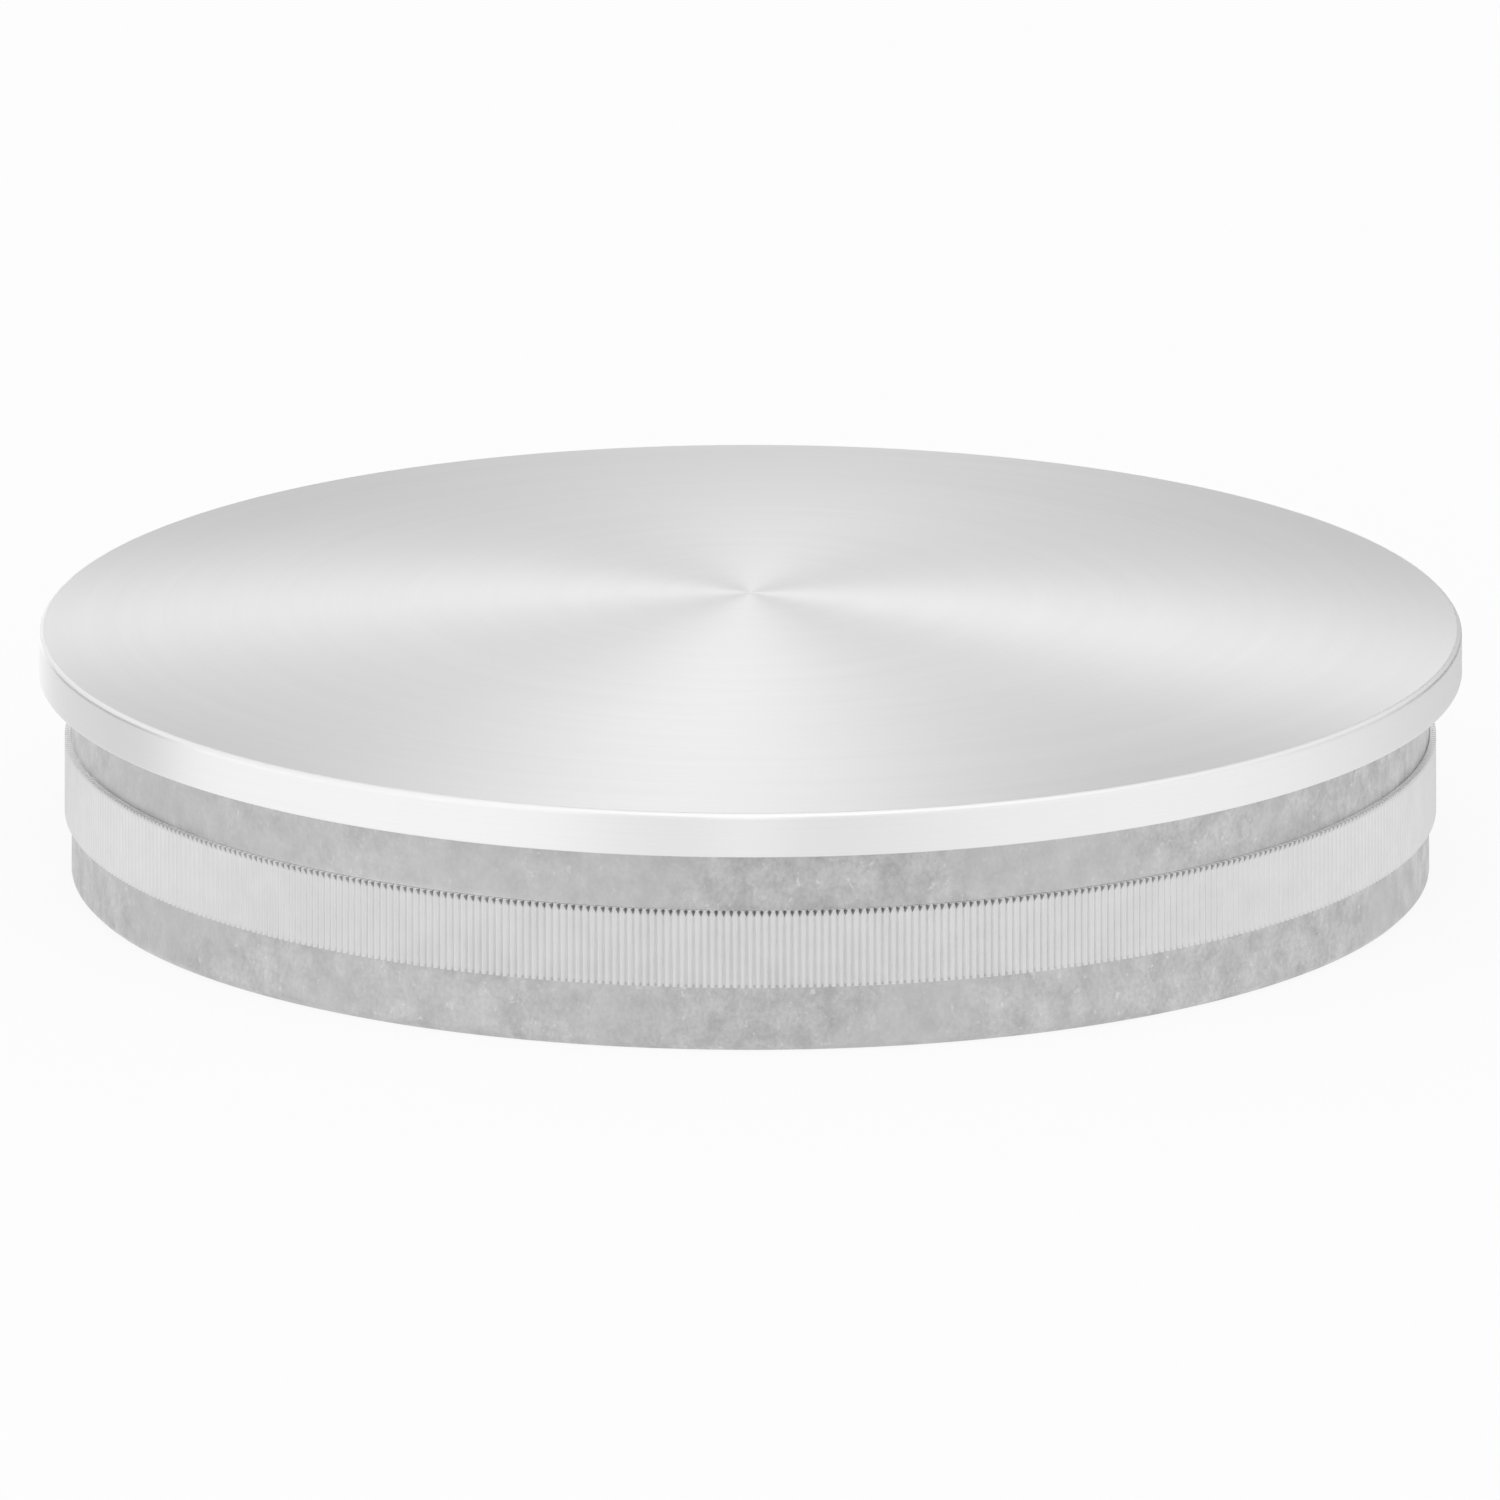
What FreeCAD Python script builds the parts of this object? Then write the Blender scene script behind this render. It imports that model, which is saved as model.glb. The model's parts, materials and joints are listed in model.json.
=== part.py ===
import FreeCAD, Part
import math
import os

# All sizes are in millimetres. The cap stands on the rim of its plug at Z = 0, with its axis on Z.

# The round tube that the cap closes
TUBE_OUTSIDE_DIAMETER = 101.6
TUBE_WALL = 2.0

# The plug that goes into the tube: a plain lead, a knurled band and a neck, from the bottom up
PLUG_CLEARANCE = 0.35
LEAD_HEIGHT = 4.85
KNURL_HEIGHT = 5.65
NECK_HEIGHT = 4.5
LEAD_CHAMFER = 0.5

# The straight knurl that bites into the tube's bore
KNURL_BITE = 0.15
KNURL_DEPTH = 0.2
KNURL_PITCH = 0.5453
KNURL_LAND_WIDTH = 0.145

# The flange that covers the tube's end, and the dome on top of it
FLANGE_THICKNESS = 3.2
FLANGE_TOP_CHAMFER = 0.3
FLANGE_LOWER_EDGE_BREAK = 0.15
DOME_RISE = 2.7

# The hollow inside the plug, open at the bottom
SIDE_WALL = 4.0
ROOF_THICKNESS = 4.0
HOLLOW_CORNER_RADIUS = 3.0
MOUTH_CHAMFER = 0.5

flange_radius = TUBE_OUTSIDE_DIAMETER / 2
bore_radius = flange_radius - TUBE_WALL
plug_radius = bore_radius - PLUG_CLEARANCE
crest_radius = bore_radius + KNURL_BITE
root_radius = crest_radius - KNURL_DEPTH
hollow_radius = plug_radius - SIDE_WALL

knurl_bottom = LEAD_HEIGHT
knurl_top = knurl_bottom + KNURL_HEIGHT
seat_height = knurl_top + NECK_HEIGHT
rim_height = seat_height + FLANGE_THICKNESS
apex_height = rim_height + DOME_RISE

dome_edge_radius = flange_radius - FLANGE_TOP_CHAMFER
dome_sphere_radius = (dome_edge_radius ** 2 + DOME_RISE ** 2) / (2 * DOME_RISE)
roof_sphere_radius = dome_sphere_radius - ROOF_THICKNESS
sphere_centre_height = apex_height - dome_sphere_radius

tooth_count = round(2 * math.pi * crest_radius / KNURL_PITCH)
tooth_angle = 2 * math.pi / tooth_count
land_angle = KNURL_LAND_WIDTH / crest_radius

ORIGIN = FreeCAD.Vector(0, 0, 0)
AXIS = FreeCAD.Vector(0, 0, 1)
FULL_TURN = 360


def section_point(radius, height):
    """A point of the cap's section, on the side towards +X."""
    return FreeCAD.Vector(radius, 0, height)


def sphere_point(radius, sphere_radius):
    """The section point at this distance from the axis on a sphere that shares the dome's centre."""
    return section_point(radius, sphere_centre_height + math.sqrt(sphere_radius ** 2 - radius ** 2))


def knurl_point(radius, angle):
    """A point on the knurl's lower end, its angle in radians from +X."""
    return FreeCAD.Vector(radius * math.cos(angle), radius * math.sin(angle), knurl_bottom)


def line(start, end):
    return Part.LineSegment(start, end).toShape()


def arc(start, middle, end):
    return Part.Arc(start, middle, end).toShape()


def outer_edges(apex):
    """The section from the apex over the dome, the flange and the plug to the mouth of the hollow."""
    dome_middle = sphere_point(dome_edge_radius / 2, dome_sphere_radius)
    corners = [
        section_point(dome_edge_radius, rim_height),
        section_point(flange_radius, rim_height - FLANGE_TOP_CHAMFER),
        section_point(flange_radius, seat_height + FLANGE_LOWER_EDGE_BREAK),
        section_point(flange_radius - FLANGE_LOWER_EDGE_BREAK, seat_height),
        section_point(plug_radius, seat_height),
        section_point(plug_radius, LEAD_CHAMFER),
        section_point(plug_radius - LEAD_CHAMFER, 0),
        section_point(hollow_radius + MOUTH_CHAMFER, 0),
        section_point(hollow_radius, MOUTH_CHAMFER),
    ]
    dome = arc(apex, dome_middle, corners[0])
    return [dome] + [line(start, end) for start, end in zip(corners, corners[1:])]


def hollow_edges(roof_centre):
    """The section of the hollow, from its mouth up the wall and round the corner to the roof's centre."""
    corner_centre = sphere_point(
        hollow_radius - HOLLOW_CORNER_RADIUS,
        roof_sphere_radius - HOLLOW_CORNER_RADIUS,
    )
    wall_bottom = section_point(hollow_radius, MOUTH_CHAMFER)
    wall_top = section_point(hollow_radius, corner_centre.z)
    sphere_centre = section_point(0, sphere_centre_height)
    roof_direction = (corner_centre - sphere_centre).normalize()
    roof_edge = corner_centre + roof_direction * HOLLOW_CORNER_RADIUS
    half_way_direction = (roof_direction + FreeCAD.Vector(1, 0, 0)).normalize()
    corner_middle = corner_centre + half_way_direction * HOLLOW_CORNER_RADIUS
    roof_middle = sphere_point(roof_edge.x / 2, roof_sphere_radius)
    return [
        line(wall_bottom, wall_top),
        arc(wall_top, corner_middle, roof_edge),
        arc(roof_edge, roof_middle, roof_centre),
    ]


def turned_body():
    """The whole cap but its knurl, as turned: the flange and dome with the hollow plug under them."""
    apex = section_point(0, apex_height)
    roof_centre = section_point(0, apex_height - ROOF_THICKNESS)
    outline = outer_edges(apex) + hollow_edges(roof_centre) + [line(roof_centre, apex)]
    return Part.Face(Part.Wire(outline)).revolve(ORIGIN, AXIS, FULL_TURN)


def tooth_edges(angle):
    """One tooth of the knurl's outline: its crest land, then the groove up to the next tooth's land."""
    land_start = knurl_point(crest_radius, angle - land_angle / 2)
    land_middle = knurl_point(crest_radius, angle)
    land_end = knurl_point(crest_radius, angle + land_angle / 2)
    root = knurl_point(root_radius, angle + tooth_angle / 2)
    next_land_start = knurl_point(crest_radius, angle + tooth_angle - land_angle / 2)
    return [arc(land_start, land_middle, land_end), line(land_end, root), line(root, next_land_start)]


def knurled_ring():
    """The knurled band as a ring whose inner wall lies within the wall of the plug."""
    outline = []
    for tooth in range(tooth_count):
        outline += tooth_edges(tooth * tooth_angle)
    inner_radius = plug_radius - SIDE_WALL / 2
    inner_circle = Part.Circle(section_point(0, knurl_bottom), AXIS, inner_radius).toShape()
    ring = Part.makeFace([Part.Wire(outline), Part.Wire(inner_circle)], "Part::FaceMakerBullseye")
    return ring.extrude(AXIS * KNURL_HEIGHT)


def end_cap():
    return turned_body().fuse(knurled_ring()).Solids[0]


os.makedirs("parts", exist_ok=True)
end_cap().exportStep("parts/end_cap.step")
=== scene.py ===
import json
import math
from collections import namedtuple

import bmesh
import bpy
from bpy.props import FloatProperty, FloatVectorProperty, IntProperty, PointerProperty
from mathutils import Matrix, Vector


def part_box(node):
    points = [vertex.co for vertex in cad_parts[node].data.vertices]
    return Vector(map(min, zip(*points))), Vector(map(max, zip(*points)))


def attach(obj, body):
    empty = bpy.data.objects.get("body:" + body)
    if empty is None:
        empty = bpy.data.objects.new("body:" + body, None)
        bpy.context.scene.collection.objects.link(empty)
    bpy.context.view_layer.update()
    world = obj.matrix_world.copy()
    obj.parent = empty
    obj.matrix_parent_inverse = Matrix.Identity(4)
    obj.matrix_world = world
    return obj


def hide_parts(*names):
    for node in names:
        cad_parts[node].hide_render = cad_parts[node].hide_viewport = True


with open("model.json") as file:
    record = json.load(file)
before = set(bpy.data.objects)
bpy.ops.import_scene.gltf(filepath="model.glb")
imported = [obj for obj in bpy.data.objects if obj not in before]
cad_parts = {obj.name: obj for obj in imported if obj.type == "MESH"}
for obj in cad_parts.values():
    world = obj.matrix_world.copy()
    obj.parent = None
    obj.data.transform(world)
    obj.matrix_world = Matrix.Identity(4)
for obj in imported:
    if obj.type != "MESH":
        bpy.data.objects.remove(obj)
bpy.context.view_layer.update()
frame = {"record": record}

bl_info = {
    "name": "Domed Tube End Cap",
    "version": (1, 0, 0),
    "blender": (4, 5, 0),
    "location": "3D View > Sidebar > End Cap",
    "description": "Models a domed tube end cap with a knurled plug and sets it on a pale studio floor",
    "category": "Mesh",
}

MM = 0.001

# What the frame says of the cap's sizes
mounts = {mount["name"]: mount for mount in frame["record"]["mounts"]}
cap_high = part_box("end_cap")[1]
lead_radius = mounts["plug_lead"]["dims"]["r_mm"] * MM
band_radius = mounts["knurled_band"]["dims"]["r_mm"] * MM
band_start = mounts["knurled_band"]["pos_m"][2]
band_length = mounts["knurled_band"]["dims"]["length_mm"] * MM
seat_place = mounts["tube_seat"]["pos_m"][2]

# How near two points are that count as one place, and that are merged
NEAR = 0.002 * MM
WELD = 0.001 * MM

# How finely the section is divided
DOME_RINGS = 18
ROOF_RINGS = 8
HOLLOW_CORNER_STEPS = 6
ROUNDING_STEPS = 3
FLANGE_GRID = 1.0 * MM
CAST_GRID = 0.5 * MM
HOLLOW_GRID = 2.0 * MM

# The small roundings at the section's corners
ROUNDINGS = {
    "dome_edge": 0.07 * MM,
    "chamfer_foot": 0.12 * MM,
    "seat_edge": 0.10 * MM,
    "neck_top": 0.20 * MM,
    "neck_foot": 0.06 * MM,
    "lead_top": 0.06 * MM,
    "lead_foot": 0.12 * MM,
    "rim_outer": 0.12 * MM,
    "rim_inner": 0.12 * MM,
    "wall_foot": 0.12 * MM,
}

# The knurl: its broken edges, and how far each end of a groove runs out and sinks below the root
LAND_EDGE_BREAK = 0.025 * MM
FOOT_RUN_OUT = 0.22 * MM
FOOT_SINK = 0.14 * MM
TOP_RUN_OUT = 0.45 * MM
TOP_BEND = 0.33 * MM
TOP_BEND_SINK = 0.17 * MM
TOP_SINK = 0.22 * MM

# The cast walls: the size of their lumps, and how far they stay from the machined edges
LUMP_SIZE = 1.3 * MM
SKIN_MARGIN = 0.3 * MM

# How far from an edge one finish gives way to the next
DOME_EDGE_STRIP = 0.05 * MM
CHAMFER_STRIP = 0.1 * MM
NECK_ROUNDING_STRIP = 0.21 * MM
KNURL_STEP_STRIP = 0.12 * MM

# The angle past which two faces meet in a sharp edge
SHARP_ANGLE = math.radians(32)

# In the materials: the least squared distance from the axis in mm, and a quarter of a turn
LEAST_SQUARE = 1e-6
QUARTER_TURN = 0.25

# The studio
FLOOR_WIDTH = 4.0
FLOOR_GAP = 0.02 * MM
FLOOR_PAINT = (0.9, 0.9, 0.9, 1)
FLOOR_GLOW_SHARE = 0.88
VIEW_CENTRE = Vector((-0.03 * MM, 0, 9.26 * MM))
CAMERA_DISTANCE = 0.5
CAMERA_REACH = 20.0
DARKEST_WALL = 0.144


def size(name, description, default):
    """A length in metres that a user can change."""
    return FloatProperty(
        name=name, description=description, default=default, min=0.0, unit="LENGTH", precision=5
    )


def tint(name, description, grey):
    """A colour that a user can change, grey to begin with."""
    return FloatVectorProperty(
        name=name, description=description, default=(grey, grey, grey),
        size=3, min=0.0, max=1.0, subtype="COLOR",
    )


def gain(name, description, default):
    """A brightness that a user can change, where 1 is white."""
    return FloatProperty(name=name, description=description, default=default, min=0.0)


class CapSizes(bpy.types.PropertyGroup):
    """The cap's own sizes, and the places that follow from them."""

    flange_radius: size("Flange radius", "Outer radius of the flange", cap_high.x)
    plug_radius: size("Plug radius", "Radius of the neck and the lead", lead_radius)
    crest_radius: size("Crest radius", "Radius over the knurl", band_radius)
    knurl_bottom: size("Knurl bottom", "Height where the knurl starts", band_start)
    knurl_top: size("Knurl top", "Height where the knurl ends", band_start + band_length)
    knurl_depth: size("Knurl depth", "Depth of the grooves under the crests", 0.2 * MM)
    tooth_count: IntProperty(
        name="Teeth", description="Number of teeth round the knurl", default=564, min=24
    )
    seat_height: size("Seat height", "Height of the flange's underside", seat_place)
    apex_height: size("Apex height", "Height of the top of the dome", cap_high.z)
    dome_rise: size("Dome rise", "Height of the apex over the rim of the dome", 2.7 * MM)
    rim_chamfer: size("Rim chamfer", "Chamfer round the top of the flange", 0.3 * MM)
    lead_chamfer: size("Lead chamfer", "Chamfers at the plug's lower end", 0.5 * MM)
    wall: size("Wall", "Thickness of the plug's wall and of the roof over its hollow", 4.0 * MM)
    hollow_corner: size("Hollow corner", "Radius between the hollow's wall and its roof", 3.0 * MM)
    cast_relief: size("Cast relief", "Height of the uneven skin left by the casting", 0.06 * MM)

    @property
    def rim_height(self):
        """Height of the rim of the dome."""
        return self.apex_height - self.dome_rise

    @property
    def dome_edge(self):
        """Radius of the rim of the dome."""
        return self.flange_radius - self.rim_chamfer

    @property
    def dome_sphere(self):
        """Radius of the sphere that the dome is a part of."""
        return (self.dome_edge ** 2 + self.dome_rise ** 2) / (2 * self.dome_rise)

    @property
    def sphere_centre(self):
        """Height of that sphere's centre, which the hollow's roof shares."""
        return self.apex_height - self.dome_sphere

    @property
    def root_radius(self):
        """Radius at the bottom of the knurl's grooves."""
        return self.crest_radius - self.knurl_depth

    @property
    def hollow_radius(self):
        """Radius of the hollow inside the plug."""
        return self.plug_radius - self.wall


class StudioSettings(bpy.types.PropertyGroup):
    """The finishes' colours, the lights and the camera."""

    steel_tint: tint("Brushed steel", "Colour of the brushed dome", 0.79)
    # Partly painted light: besides the turned steel's own colour, this is set much paler than the dome's
    # same steel, to make up for the light that the flange's wall lacks.
    edge_tint: tint("Turned steel", "Colour of the flange under its dome and of the plug's rim", 0.975)
    knurl_tint: tint("Knurled steel", "Colour of the knurled band", 0.785)
    cast_tint: tint("Cast steel", "Colour of the skin left by the casting", 0.555)
    room_level: gain("Room", "Brightness of the room's walls", 0.05)
    panel_gain: gain("Panel", "What the panel behind the cap adds", 0.809)
    strip_gain: gain("Strip", "What the overhead strip adds", 1.16)
    left_gain: gain("Left light", "What the light on the left adds", 1.14)
    right_gain: gain("Right light", "What the light on the right adds", 1.09)
    view_width: size("View width", "Width that the camera sees", 0.10708)
    view_elevation: FloatProperty(
        name="Camera elevation", description="Angle of the camera above the floor",
        default=math.radians(15.1), subtype="ANGLE",
    )


def object_mode():
    """Leaves edit mode, if an object is in it."""
    if bpy.context.object and bpy.context.object.mode != "OBJECT":
        bpy.ops.object.mode_set(mode="OBJECT")


def start_piece(name, first_point):
    """A new mesh object that holds one vertex, open in edit mode."""
    object_mode()
    bpy.ops.object.select_all(action="DESELECT")
    bpy.ops.mesh.primitive_plane_add(size=MM, location=(0, 0, 0))
    piece = bpy.context.object
    piece.name = name
    piece.data.name = name
    bpy.ops.object.mode_set(mode="EDIT")
    bpy.ops.mesh.select_mode(type="VERT")
    bpy.ops.mesh.select_all(action="SELECT")
    bpy.ops.mesh.merge(type="CENTER")
    bpy.ops.transform.translate(value=first_point)
    return piece


def extrude_through(points):
    """Extrudes the selected vertex from point to point, from the first one on."""
    for start, end in zip(points, points[1:]):
        bpy.ops.mesh.extrude_region_move(TRANSFORM_OT_translate={"value": end - start})


def pick(piece, kind, test):
    """Selects the vertices, edges or faces that pass the test, and nothing else, in edit mode."""
    bpy.ops.mesh.select_mode(type={"verts": "VERT", "edges": "EDGE", "faces": "FACE"}[kind])
    bpy.ops.mesh.select_all(action="DESELECT")
    mesh = bmesh.from_edit_mesh(piece.data)
    for element in getattr(mesh, kind):
        if test(element):
            element.select_set(True)
    mesh.select_flush_mode()
    bmesh.update_edit_mesh(piece.data)


def reach(point):
    """Distance of a point from the cap's axis."""
    return math.hypot(point.x, point.y)


def place(radius, height):
    """A point of the cap's section, on the side towards +X."""
    return Vector((radius, 0, height))


def sphere_arc(sphere_radius, centre_height, start, end, steps):
    """Section points on a sphere about the axis, between two distances from it."""
    points = []
    for step in range(steps + 1):
        radius = start + (end - start) * step / steps
        points.append(place(radius, centre_height + math.sqrt(sphere_radius ** 2 - radius ** 2)))
    return points


def straight(start, end, spacing):
    """Section points after the start, up to the end, no further apart than the spacing."""
    steps = max(1, math.ceil((end - start).length / spacing))
    return [start.lerp(end, step / steps) for step in range(1, steps + 1)]


def section_corners(sizes):
    """The corners of the cap's section, from the dome's edge down and round to the hollow's wall."""
    return {
        "dome_edge": place(sizes.dome_edge, sizes.rim_height),
        "chamfer_foot": place(sizes.flange_radius, sizes.rim_height - sizes.rim_chamfer),
        "seat_edge": place(sizes.flange_radius, sizes.seat_height),
        "neck_top": place(sizes.plug_radius, sizes.seat_height),
        "neck_foot": place(sizes.plug_radius, sizes.knurl_top),
        "root_top": place(sizes.root_radius, sizes.knurl_top),
        "root_foot": place(sizes.root_radius, sizes.knurl_bottom),
        "lead_top": place(sizes.plug_radius, sizes.knurl_bottom),
        "lead_foot": place(sizes.plug_radius, sizes.lead_chamfer),
        "rim_outer": place(sizes.plug_radius - sizes.lead_chamfer, 0),
        "rim_inner": place(sizes.hollow_radius + sizes.lead_chamfer, 0),
        "wall_foot": place(sizes.hollow_radius, sizes.lead_chamfer),
    }


def outer_section(sizes, corners):
    """Section points from the apex over the dome, the flange and the plug to the hollow's mouth."""
    points = sphere_arc(sizes.dome_sphere, sizes.sphere_centre, 0, sizes.dome_edge, DOME_RINGS)
    points += [corners["chamfer_foot"]]
    points += straight(corners["chamfer_foot"], corners["seat_edge"], FLANGE_GRID)
    points += [corners["neck_top"]]
    points += straight(corners["neck_top"], corners["neck_foot"], CAST_GRID)
    points += [corners["root_top"], corners["root_foot"], corners["lead_top"]]
    points += straight(corners["lead_top"], corners["lead_foot"], CAST_GRID)
    return points + [corners["rim_outer"], corners["rim_inner"], corners["wall_foot"]]


def hollow_section(sizes, wall_foot):
    """Section points from the foot of the hollow's wall up and round its corner to its roof's centre."""
    corner = sizes.hollow_corner
    roof_sphere = sizes.dome_sphere - sizes.wall
    corner_reach = sizes.hollow_radius - corner
    corner_height = sizes.sphere_centre + math.sqrt((roof_sphere - corner) ** 2 - corner_reach ** 2)
    roof_slope = math.atan2(corner_reach, corner_height - sizes.sphere_centre)
    points = straight(wall_foot, place(sizes.hollow_radius, corner_height), HOLLOW_GRID)
    for step in range(1, HOLLOW_CORNER_STEPS + 1):
        turn = (math.pi / 2 - roof_slope) * step / HOLLOW_CORNER_STEPS
        radius = corner_reach + corner * math.cos(turn)
        points.append(place(radius, corner_height + corner * math.sin(turn)))
    return points + sphere_arc(roof_sphere, sizes.sphere_centre, points[-1].x, 0, ROOF_RINGS)[1:]


def round_corners(piece, corners):
    """Rounds the section's corners while it is still an open chain."""
    for name, width in ROUNDINGS.items():
        pick(piece, "verts", lambda vertex: (vertex.co - corners[name]).length < NEAR)
        bpy.ops.mesh.bevel(affect="VERTICES", offset=width, segments=ROUNDING_STEPS)


def turn_round(steps):
    """Turns the section once about the axis and closes the skin at its seam and its poles."""
    bpy.ops.mesh.select_mode(type="VERT")
    bpy.ops.mesh.select_all(action="SELECT")
    half_pitch = math.pi / steps
    bpy.ops.transform.rotate(value=half_pitch, orient_axis="Z", center_override=(0, 0, 0))
    bpy.ops.mesh.spin(steps=steps, angle=2 * math.pi, center=(0, 0, 0), axis=(0, 0, 1))
    bpy.ops.mesh.select_all(action="SELECT")
    bpy.ops.mesh.remove_doubles(threshold=WELD)
    bpy.ops.mesh.select_all(action="SELECT")
    bpy.ops.mesh.normals_make_consistent(inside=False)


def roll_knurl(piece, sizes):
    """Raises one tooth on each face of the plain band and breaks the edges of its land."""
    root_radius = sizes.root_radius
    middle = (sizes.knurl_bottom + sizes.knurl_top) / 2

    def on_band(face):
        centre = face.calc_center_median()
        return abs(centre.z - middle) < NEAR and reach(centre) > root_radius - NEAR

    pick(piece, "faces", on_band)
    bpy.ops.mesh.inset(thickness=sizes.knurl_depth, depth=sizes.knurl_depth, use_individual=True)
    height = sizes.knurl_top - sizes.knurl_bottom
    stretch = height / (height - 2 * sizes.knurl_depth)
    bpy.ops.transform.resize(value=(1, 1, stretch), center_override=(0, 0, middle))
    bpy.ops.mesh.bevel(affect="EDGES", offset=LAND_EDGE_BREAK, segments=1)


def run_out_grooves(piece, sizes):
    """Sinks the two ends of each groove below its root, as the knurling tool does where it stops."""
    root_radius, bottom, top = sizes.root_radius, sizes.knurl_bottom, sizes.knurl_top
    quarter = (top - bottom) / 4

    def on_root(point):
        return abs(reach(point) - root_radius) < NEAR

    def groove_line(edge):
        ends = [vertex.co for vertex in edge.verts]
        return all(on_root(end) for end in ends) and abs(ends[0].z - ends[1].z) > 2 * quarter

    pick(piece, "edges", groove_line)
    bpy.ops.mesh.subdivide(number_cuts=3, ngon=False)
    rings = (
        (bottom, bottom, FOOT_SINK),
        (bottom + quarter, bottom + FOOT_RUN_OUT, 0.0),
        (bottom + 2 * quarter, top - TOP_RUN_OUT, 0.0),
        (top - quarter, top - TOP_BEND, TOP_BEND_SINK),
        (top, top, TOP_SINK),
    )
    for height, new_height, sink in rings:
        pick(piece, "verts", lambda vertex: on_root(vertex.co) and abs(vertex.co.z - height) < NEAR)
        bpy.ops.transform.translate(value=(0, 0, new_height - height))
        across = (root_radius - sink) / root_radius
        bpy.ops.transform.resize(value=(across, across, 1), center_override=(0, 0, 0))


def cast_parts(piece, sizes):
    """Marks the walls that keep their cast skin, away from the machined faces beside them."""
    plug_radius, hollow_radius = sizes.plug_radius, sizes.hollow_radius
    foot = sizes.lead_chamfer + SKIN_MARGIN
    hollow_top = sizes.rim_height - sizes.wall / 4
    plug_bands = (
        (sizes.knurl_top + SKIN_MARGIN, sizes.seat_height - SKIN_MARGIN),
        (foot, sizes.knurl_bottom - SKIN_MARGIN),
    )

    def has_skin(point):
        if abs(reach(point) - plug_radius) < NEAR:
            return any(low < point.z < high for low, high in plug_bands)
        return reach(point) < hollow_radius + NEAR and foot < point.z < hollow_top

    group = piece.vertex_groups.new(name="cast_skin")
    skin = [vertex.index for vertex in piece.data.vertices if has_skin(vertex.co)]
    group.add(skin, 1.0, "REPLACE")
    return group


def rough_cast(piece, sizes):
    """Lifts and sinks the cast walls by the height of their relief."""
    group = cast_parts(piece, sizes)
    lumps = bpy.data.textures.new("cast_lumps", "CLOUDS")
    lumps.noise_scale = LUMP_SIZE
    lumps.noise_depth = 2
    relief = piece.modifiers.new("Cast relief", "DISPLACE")
    relief.texture = lumps
    relief.texture_coords = "LOCAL"
    relief.strength = sizes.cast_relief
    relief.mid_level = 0.5
    relief.vertex_group = group.name
    bpy.ops.object.modifier_apply(modifier=relief.name)
    piece.vertex_groups.clear()


class CAP_OT_model(bpy.types.Operator):
    """Model the end cap in one piece: turn its section, raise the knurl and roughen the cast walls"""

    bl_idname = "mesh.end_cap_model"
    bl_label = "Model the End Cap"

    def execute(self, context):
        sizes = context.scene.cap_sizes
        corners = section_corners(sizes)
        points = outer_section(sizes, corners) + hollow_section(sizes, corners["wall_foot"])
        piece = start_piece("domed_end_cap", points[0])
        extrude_through(points)
        round_corners(piece, corners)
        turn_round(sizes.tooth_count)
        roll_knurl(piece, sizes)
        run_out_grooves(piece, sizes)
        object_mode()
        rough_cast(piece, sizes)
        bpy.ops.object.shade_smooth_by_angle(angle=SHARP_ANGLE)
        weighted = piece.modifiers.new("Flat faces stay flat", "WEIGHTED_NORMAL")
        weighted.keep_sharp = True
        bpy.ops.object.modifier_apply(modifier=weighted.name)
        finish_cap(piece, sizes, context.scene.studio)
        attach(piece, "root")
        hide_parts("end_cap")
        return {"FINISHED"}


class Nodes:
    """Adds and joins the nodes of one material or of the world."""

    def __init__(self, tree):
        self.tree = tree
        tree.nodes.clear()

    def add(self, kind, settings=None, **inputs):
        """A new node with these settings, and with values or links for its inputs."""
        node = self.tree.nodes.new(kind)
        for name, value in (settings or {}).items():
            setattr(node, name, value)
        for name, value in inputs.items():
            self.feed(node.inputs[name.replace("_", " ")], value)
        return node

    def feed(self, socket, value):
        """Links an output to the socket, or sets the socket to a plain value."""
        if isinstance(value, bpy.types.NodeSocket):
            self.tree.links.new(value, socket)
        else:
            socket.default_value = value

    def math(self, operation, *values):
        """The result of one operation on values or outputs."""
        node = self.add("ShaderNodeMath", {"operation": operation})
        for socket, value in zip(node.inputs, values):
            self.feed(socket, value)
        return node.outputs[0]

    def combine(self, x, y, z):
        """A vector made of three parts."""
        return self.add("ShaderNodeCombineXYZ", X=x, Y=y, Z=z).outputs[0]

    def separate(self, vector):
        """The three parts of a vector."""
        return self.add("ShaderNodeSeparateXYZ", Vector=vector).outputs

    def scale(self, vector, factor):
        """A vector or colour times a factor."""
        node = self.add("ShaderNodeVectorMath", {"operation": "SCALE"})
        self.feed(node.inputs[0], vector)
        self.feed(node.inputs["Scale"], factor)
        return node.outputs[0]

    def noise(self, vector, scale, detail=2.0, roughness=0.5):
        """Soft noise about a half."""
        node = self.add(
            "ShaderNodeTexNoise", Vector=vector, Scale=scale, Detail=detail, Roughness=roughness
        )
        return node.outputs["Fac"]

    def remap(self, value, low, high, new_low, new_high, kind="LINEAR"):
        """A value between low and high, moved to between the new ones and kept there."""
        node = self.add("ShaderNodeMapRange", {"interpolation_type": kind})
        limits = {"From Min": low, "From Max": high, "To Min": new_low, "To Max": new_high}
        for name, number in limits.items():
            node.inputs[name].default_value = number
        self.feed(node.inputs["Value"], value)
        return node.outputs["Result"]

    def vary(self, noise, low, high, swing=0.2):
        """Between low and high, as the noise swings this far to each side of a half."""
        return self.remap(noise, 0.5 - swing, 0.5 + swing, low, high)

    def fade(self, value, full, none):
        """One where the value is at full, nought where it is at none, and smooth between them."""
        return self.remap(value, none, full, 0.0, 1.0, kind="SMOOTHSTEP")


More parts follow.
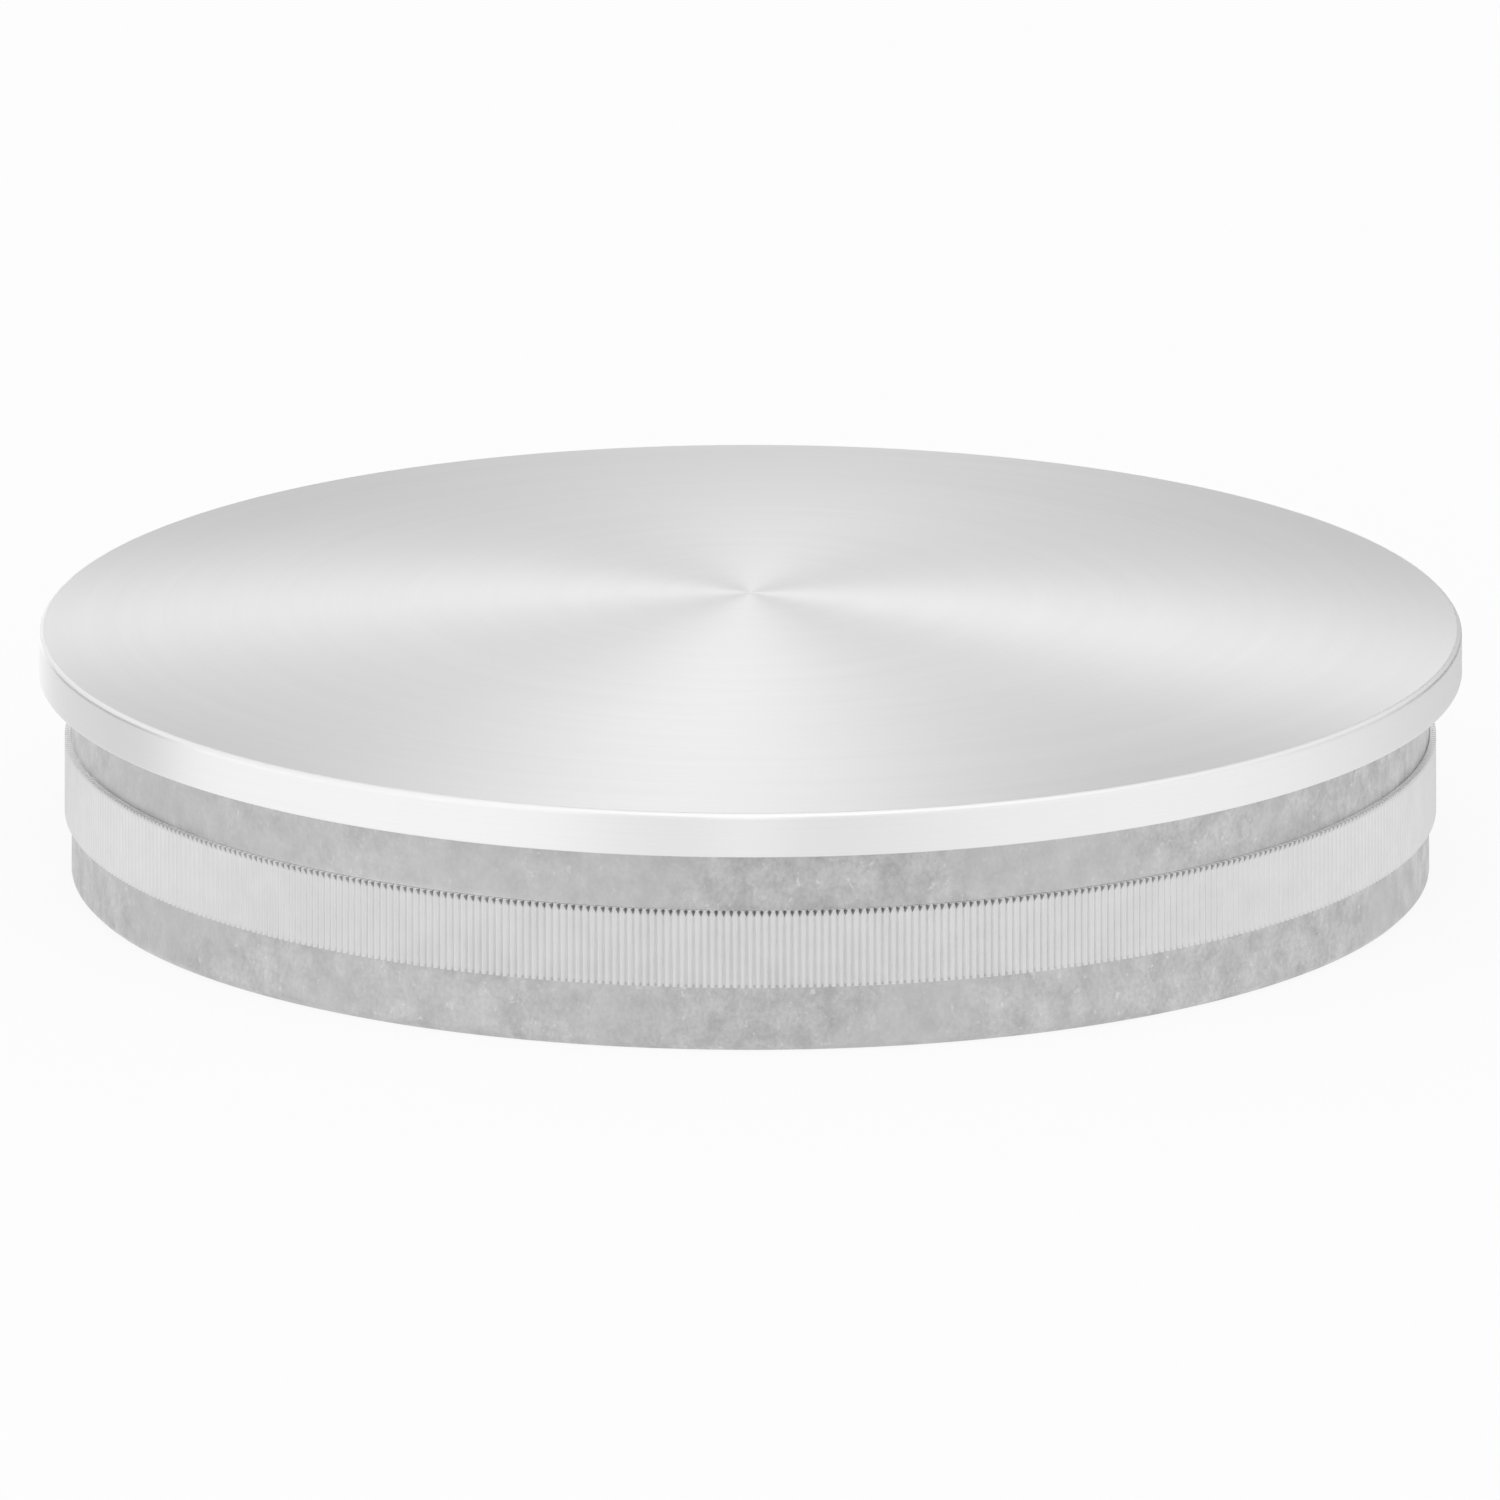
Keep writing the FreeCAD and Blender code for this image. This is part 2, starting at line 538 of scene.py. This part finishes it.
def cylinder_places(nodes):
    """A point's position in mm, its direction round the axis, its distance from it and its height."""
    position = nodes.scale(nodes.add("ShaderNodeTexCoord").outputs["Object"], 1 / MM)
    x, y, z = nodes.separate(position)
    squares = nodes.math("ADD", nodes.math("MULTIPLY", x, x), nodes.math("MULTIPLY", y, y))
    radius = nodes.math("SQRT", nodes.math("ADD", squares, LEAST_SQUARE))
    return {
        "position": position,
        "x": nodes.math("DIVIDE", x, radius),
        "y": nodes.math("DIVIDE", y, radius),
        "radius": radius,
        "height": z,
    }


def brush_lines(nodes, places, level, arc_rate, line_rate):
    """Fine lines that run round the axis, one beside the next along the given level."""
    vector = nodes.combine(
        nodes.math("MULTIPLY", places["x"], arc_rate),
        nodes.math("MULTIPLY", places["y"], arc_rate),
        nodes.math("MULTIPLY", level, line_rate),
    )
    return nodes.noise(vector, 1.0, detail=3.0, roughness=0.6)


def steel_shader(nodes, colour, roughness, anisotropy=0.0, height=None, relief=0.0):
    """Bare steel. Anisotropy stands for fine grooves round the axis, and a height for a relief."""
    shader = nodes.add("ShaderNodeBsdfPrincipled", Base_Color=colour, Metallic=1.0, Roughness=roughness)
    if anisotropy:
        tangent = nodes.add("ShaderNodeTangent", {"direction_type": "RADIAL", "axis": "Z"})
        nodes.feed(shader.inputs["Anisotropic"], anisotropy)
        nodes.feed(shader.inputs["Anisotropic Rotation"], QUARTER_TURN)
        nodes.feed(shader.inputs["Tangent"], tangent.outputs[0])
    if height is not None:
        bump = nodes.add("ShaderNodeBump", Height=height, Strength=1.0, Distance=relief)
        nodes.feed(shader.inputs["Normal"], bump.outputs[0])
    nodes.add("ShaderNodeOutputMaterial", Surface=shader.outputs[0])


def new_material(name):
    """An empty material and the maker of its nodes."""
    material = bpy.data.materials.new(name)
    material.use_nodes = True
    return material, Nodes(material.node_tree)


def brushed_dome(studio):
    """The dome, brushed in circles about its centre."""
    material, nodes = new_material("brushed_dome")
    places = cylinder_places(nodes)
    fine = brush_lines(nodes, places, places["radius"], arc_rate=2.5, line_rate=7.0)
    broad = brush_lines(nodes, places, places["radius"], arc_rate=1.0, line_rate=0.6)
    tone = nodes.math("ADD", nodes.vary(fine, -0.015, 0.015), nodes.vary(broad, 0.985, 1.015))
    roughness = nodes.vary(fine, 0.28, 0.31, swing=0.25)
    colour = nodes.scale(studio.steel_tint, tone)
    steel_shader(nodes, colour, roughness, anisotropy=0.74, height=fine, relief=0.0004 * MM)
    return material


def satin_edge(studio):
    """The chamfer between the dome and the flange's wall, an even satin."""
    material, nodes = new_material("satin_edge")
    places = cylinder_places(nodes)
    fine = brush_lines(nodes, places, places["height"], arc_rate=2.0, line_rate=6.0)
    colour = nodes.scale(studio.edge_tint, nodes.vary(fine, 0.98, 1.0))
    steel_shader(nodes, colour, nodes.vary(fine, 0.53, 0.57, swing=0.25))
    return material


def turned_edge(studio):
    """The flange's wall and underside and the plug's flat rim, with fine lines left by the turning tool."""
    material, nodes = new_material("turned_edge")
    places = cylinder_places(nodes)
    level = nodes.math("ADD", places["height"], places["radius"])
    fine = brush_lines(nodes, places, level, arc_rate=2.0, line_rate=8.0)
    roughness = nodes.vary(fine, 0.41, 0.455, swing=0.25)
    colour = nodes.scale(studio.edge_tint, nodes.vary(fine, 0.98, 1.015))
    steel_shader(nodes, colour, roughness, anisotropy=0.95, height=fine, relief=0.0005 * MM)
    return material


def knurled_steel(sizes, studio):
    """The knurled band: grooves painted a little paler than the crests to lift their shade, painted shade
    in the pits where they end and a little below the band's top, and a painted highlight on the band's top
    face.
    """
    material, nodes = new_material("knurled_steel")
    places = cylinder_places(nodes)
    radius, height = places["radius"], places["height"]
    crest, foot, top = (length / MM for length in (sizes.crest_radius, sizes.knurl_bottom, sizes.knurl_top))
    uneven = nodes.noise(places["position"], 0.5)

    in_groove = nodes.fade(radius, crest - 0.21, crest - 0.03)
    top_face = nodes.fade(height, top - 0.002, top - 0.02)
    below_top_face = nodes.math("SUBTRACT", 1.0, top_face)
    near_top = nodes.math("MULTIPLY", nodes.fade(height, top - 0.05, top - 0.5), below_top_face)
    above_foot_face = nodes.fade(height, foot + 0.02, foot + 0.002)
    near_foot = nodes.math("MULTIPLY", nodes.fade(height, foot + 0.05, foot + 0.27), above_foot_face)
    near_ends = nodes.math("ADD", near_top, near_foot)
    # Painted shade: the grooves are darkened near both ends of the band, where they run out into pits.
    painted_pit_shade = nodes.math("MULTIPLY", near_ends, nodes.math("MULTIPLY", in_groove, 0.2))

    # Painted light: the grooves are painted paler than the crests, to lift the shade that falls in them.
    tone = nodes.remap(radius, crest - 0.18, crest - 0.02, 1.07, 0.95)
    tone = nodes.math("SUBTRACT", tone, painted_pit_shade)
    # Painted shade: the band is darkened just below its top, next to the neck's foot.
    tone = nodes.math("MULTIPLY_ADD", near_top, -0.1, tone)
    # Painted highlight: the band's upward top face is painted paler, to lift the shade that it has from
    # mirroring the neck.
    tone = nodes.math("MULTIPLY_ADD", top_face, 0.25, tone)
    tone = nodes.math("MULTIPLY", nodes.vary(uneven, 0.98, 1.02), tone)
    colour = nodes.scale(studio.knurl_tint, tone)
    steel_shader(nodes, colour, nodes.vary(uneven, 0.46, 0.43), height=uneven, relief=0.004 * MM)
    return material


def cast_skin(studio):
    """The casting's matt, mottled skin: the neck, the lead, the plug's lower chamfers and the hollow."""
    material, nodes = new_material("cast_skin")
    x, y, z = nodes.separate(cylinder_places(nodes)["position"])
    drawn_out = nodes.combine(x, y, nodes.math("MULTIPLY", z, 0.85))
    blotches = nodes.noise(drawn_out, 0.6)
    grain = nodes.noise(drawn_out, 3.0, detail=3.0, roughness=0.7)
    patches = nodes.vary(nodes.noise(drawn_out, 0.07), 0.6, 1.5, swing=0.1)
    flecks = nodes.fade(nodes.noise(drawn_out, 1.9, roughness=0.6), 0.74, 0.62)

    mottling = nodes.math("MULTIPLY", nodes.vary(blotches, 0.91, 1.07), nodes.vary(grain, 0.92, 1.07))
    tone = nodes.math("MULTIPLY_ADD", nodes.math("SUBTRACT", mottling, 1.0), patches, 1.0)
    tone = nodes.math("MULTIPLY_ADD", nodes.math("MULTIPLY", flecks, patches), 0.15, tone)
    bumps = nodes.math("ADD", nodes.math("MULTIPLY", blotches, 3.0), grain)
    roughness = nodes.vary(blotches, 0.42, 0.36)
    colour = nodes.scale(studio.cast_tint, tone)
    steel_shader(nodes, colour, roughness, anisotropy=0.44, height=bumps, relief=0.012 * MM)
    return material


def finish_at(centre, sizes):
    """The name of the finish that the face with this centre has."""
    radius, height = reach(centre), centre.z
    if height > sizes.rim_height + NEAR and radius < sizes.dome_edge - DOME_EDGE_STRIP:
        return "brushed_dome"
    chamfer_foot = sizes.rim_height - sizes.rim_chamfer
    if height > chamfer_foot + CHAMFER_STRIP and radius > sizes.dome_edge - CHAMFER_STRIP:
        return "satin_edge"
    on_flange = radius > sizes.plug_radius + NECK_ROUNDING_STRIP and height > sizes.knurl_top + MM
    on_flat_rim = height < NEAR
    if on_flange or on_flat_rim:
        return "turned_edge"
    if radius > sizes.plug_radius + KNURL_STEP_STRIP:
        return "knurled_steel"
    return "cast_skin"


def finish_cap(piece, sizes, studio):
    """Gives each surface of the cap the finish that it has."""
    finishes = {
        "cast_skin": cast_skin(studio),
        "brushed_dome": brushed_dome(studio),
        "satin_edge": satin_edge(studio),
        "turned_edge": turned_edge(studio),
        "knurled_steel": knurled_steel(sizes, studio),
    }
    for material in finishes.values():
        piece.data.materials.append(material)
    slots = {name: number for number, name in enumerate(finishes)}
    for face in piece.data.polygons:
        face.material_index = slots[finish_at(face.center, sizes)]


def toward(azimuth, elevation):
    """A direction from the cap: azimuth 0 lies behind the camera, and grows to the camera's left."""
    around, up = math.radians(azimuth), math.radians(elevation)
    return Vector((-math.sin(around) * math.cos(up), -math.cos(around) * math.cos(up), math.sin(up)))


def softbox(name, azimuth, elevation, distance, width, height, level):
    """A soft area lamp that is aimed at the cap from the given direction and can't be seen itself."""
    lamp = bpy.data.lights.new(name, "AREA")
    lamp.shape = "RECTANGLE"
    lamp.size = width
    lamp.size_y = height
    lamp.energy = level * math.pi * width * height
    holder = bpy.data.objects.new(name, lamp)
    direction = toward(azimuth, elevation)
    holder.location = direction * distance
    holder.rotation_euler = direction.to_track_quat("Z", "Y").to_euler()
    holder.visible_camera = False
    bpy.context.scene.collection.objects.link(holder)


# A soft round glow on the room's wall: its direction and spread in degrees, and what its middle adds
Glow = namedtuple("Glow", "azimuth elevation spread gain")


def glow_share(nodes, direction, glow):
    """One in the middle of a glow, fading to nought at its spread."""
    facing = nodes.add("ShaderNodeVectorMath", {"operation": "DOT_PRODUCT"})
    nodes.feed(facing.inputs[0], direction)
    nodes.feed(facing.inputs[1], toward(glow.azimuth, glow.elevation))
    return nodes.fade(facing.outputs["Value"], 1.0, math.cos(math.radians(glow.spread)))


def rear_panel(nodes, x, y, z):
    """A long bright panel on the wall behind the cap, which rises to the right."""
    tilt, height, half_width = math.radians(24), 0.269, 0.163
    risen = nodes.math("MULTIPLY", z, math.cos(tilt))
    leaned = nodes.math("MULTIPLY", x, math.sin(tilt))
    off_centre = nodes.math("SUBTRACT", nodes.math("SUBTRACT", risen, leaned), height)
    band = nodes.fade(nodes.math("ABSOLUTE", off_centre), 0.0, half_width)
    return nodes.math("MULTIPLY", band, nodes.fade(y, 0.8, 0.4))


def overhead_strip(nodes, x, z):
    """A narrow bright strip that climbs before and behind the cap, and fades straight above it."""
    lean, offset, half_width = 0.0615, 0.0243, 0.117
    off_centre = nodes.math("MULTIPLY_ADD", z, lean, nodes.math("SUBTRACT", x, offset))
    band = nodes.fade(nodes.math("ABSOLUTE", off_centre), 0.0, half_width)
    above_the_floor = nodes.math("MULTIPLY", band, nodes.fade(z, 0.387, 0.087))
    return nodes.math("MULTIPLY", above_the_floor, nodes.fade(z, 0.74, 1.0))


def studio_room(studio):
    """A dim room: a panel, a strip, a wide light on each side, three small windows and two dark flags."""
    world = bpy.data.worlds.new("studio_room")
    bpy.context.scene.world = world
    world.use_nodes = True
    nodes = Nodes(world.node_tree)
    direction = nodes.add("ShaderNodeTexCoord").outputs["Generated"]
    x, y, z = nodes.separate(direction)
    glows = (
        Glow(71, 38, 90, studio.left_gain),
        Glow(-69, 27, 70, studio.right_gain),
        Glow(147, 25, 17.6, 1.08),
        Glow(-138, 26, 16.5, 0.83),
        Glow(164, 2, 14.5, 1.51),
        Glow(131, 6, 30, -1.08),
        Glow(101, 54, 31, -0.5),
    )
    parts = [
        (rear_panel(nodes, x, y, z), studio.panel_gain),
        (overhead_strip(nodes, x, z), studio.strip_gain),
    ]
    parts += [(glow_share(nodes, direction, glow), glow.gain) for glow in glows]
    level = studio.room_level
    for part, strength in parts:
        level = nodes.math("MULTIPLY_ADD", part, strength, level)
    level = nodes.math("MAXIMUM", level, DARKEST_WALL)
    background = nodes.add("ShaderNodeBackground", Color=(1, 1, 1, 1), Strength=level)
    nodes.add("ShaderNodeOutputWorld", Surface=background.outputs[0])


def white_floor():
    """A wide white floor that keeps a little of the cap's shadow."""
    bpy.ops.object.select_all(action="DESELECT")
    bpy.ops.mesh.primitive_plane_add(size=FLOOR_WIDTH, location=(0, 0, -FLOOR_GAP))
    bpy.ops.object.transform_apply(location=True)
    floor = bpy.context.object
    floor.name = "studio_floor"
    material, nodes = new_material("white_floor")
    path = nodes.add("ShaderNodeLightPath").outputs
    seen = nodes.math("MAXIMUM", path["Is Camera Ray"], path["Is Glossy Ray"])
    seen = nodes.math("MAXIMUM", seen, path["Is Transmission Ray"])
    paint = nodes.add("ShaderNodeBsdfDiffuse", Color=FLOOR_PAINT)
    glow = nodes.add("ShaderNodeEmission", Color=(1, 1, 1, 1), Strength=1.0)
    blend = nodes.add("ShaderNodeMixShader", Fac=nodes.math("MULTIPLY", seen, FLOOR_GLOW_SHARE))
    nodes.feed(blend.inputs[1], paint.outputs[0])
    nodes.feed(blend.inputs[2], glow.outputs[0])
    nodes.add("ShaderNodeOutputMaterial", Surface=blend.outputs[0])
    floor.data.materials.append(material)


def product_camera(studio):
    """A camera that shows no perspective, as the photograph shows none."""
    lens = bpy.data.cameras.new("product_camera")
    lens.type = "ORTHO"
    lens.ortho_scale = studio.view_width
    lens.clip_end = CAMERA_REACH
    camera = bpy.data.objects.new("product_camera", lens)
    up = studio.view_elevation
    back = Vector((0, -math.cos(up), math.sin(up)))
    camera.location = VIEW_CENTRE + back * CAMERA_DISTANCE
    camera.rotation_euler = back.to_track_quat("Z", "Y").to_euler()
    bpy.context.scene.collection.objects.link(camera)
    bpy.context.scene.camera = camera


class CAP_OT_stage(bpy.types.Operator):
    """Set the end cap on a white floor with soft lights and the camera"""

    bl_idname = "scene.end_cap_stage"
    bl_label = "Set the Studio"

    def execute(self, context):
        studio = context.scene.studio
        white_floor()
        studio_room(studio)
        softbox("left_window", azimuth=68, elevation=30, distance=1.0, width=1.56, height=0.5, level=0.4)
        product_camera(studio)
        context.scene.view_settings.view_transform = "Standard"
        return {"FINISHED"}


class CAP_PT_panel(bpy.types.Panel):
    """The cap's settings and the two steps that make it"""

    bl_label = "End Cap"
    bl_idname = "CAP_PT_panel"
    bl_space_type = "VIEW_3D"
    bl_region_type = "UI"
    bl_category = "End Cap"

    def draw(self, context):
        for group in (context.scene.cap_sizes, context.scene.studio):
            for name in group.__annotations__:
                self.layout.prop(group, name)
        for operator in (CAP_OT_model, CAP_OT_stage):
            self.layout.operator(operator.bl_idname)


classes = (CapSizes, StudioSettings, CAP_OT_model, CAP_OT_stage, CAP_PT_panel)


def register():
    for item in classes:
        bpy.utils.register_class(item)
    bpy.types.Scene.cap_sizes = PointerProperty(type=CapSizes)
    bpy.types.Scene.studio = PointerProperty(type=StudioSettings)


def unregister():
    del bpy.types.Scene.studio
    del bpy.types.Scene.cap_sizes
    for item in reversed(classes):
        bpy.utils.unregister_class(item)


def main():
    register()
    bpy.ops.mesh.end_cap_model()
    bpy.ops.scene.end_cap_stage()


if __name__ == "__main__":
    main()
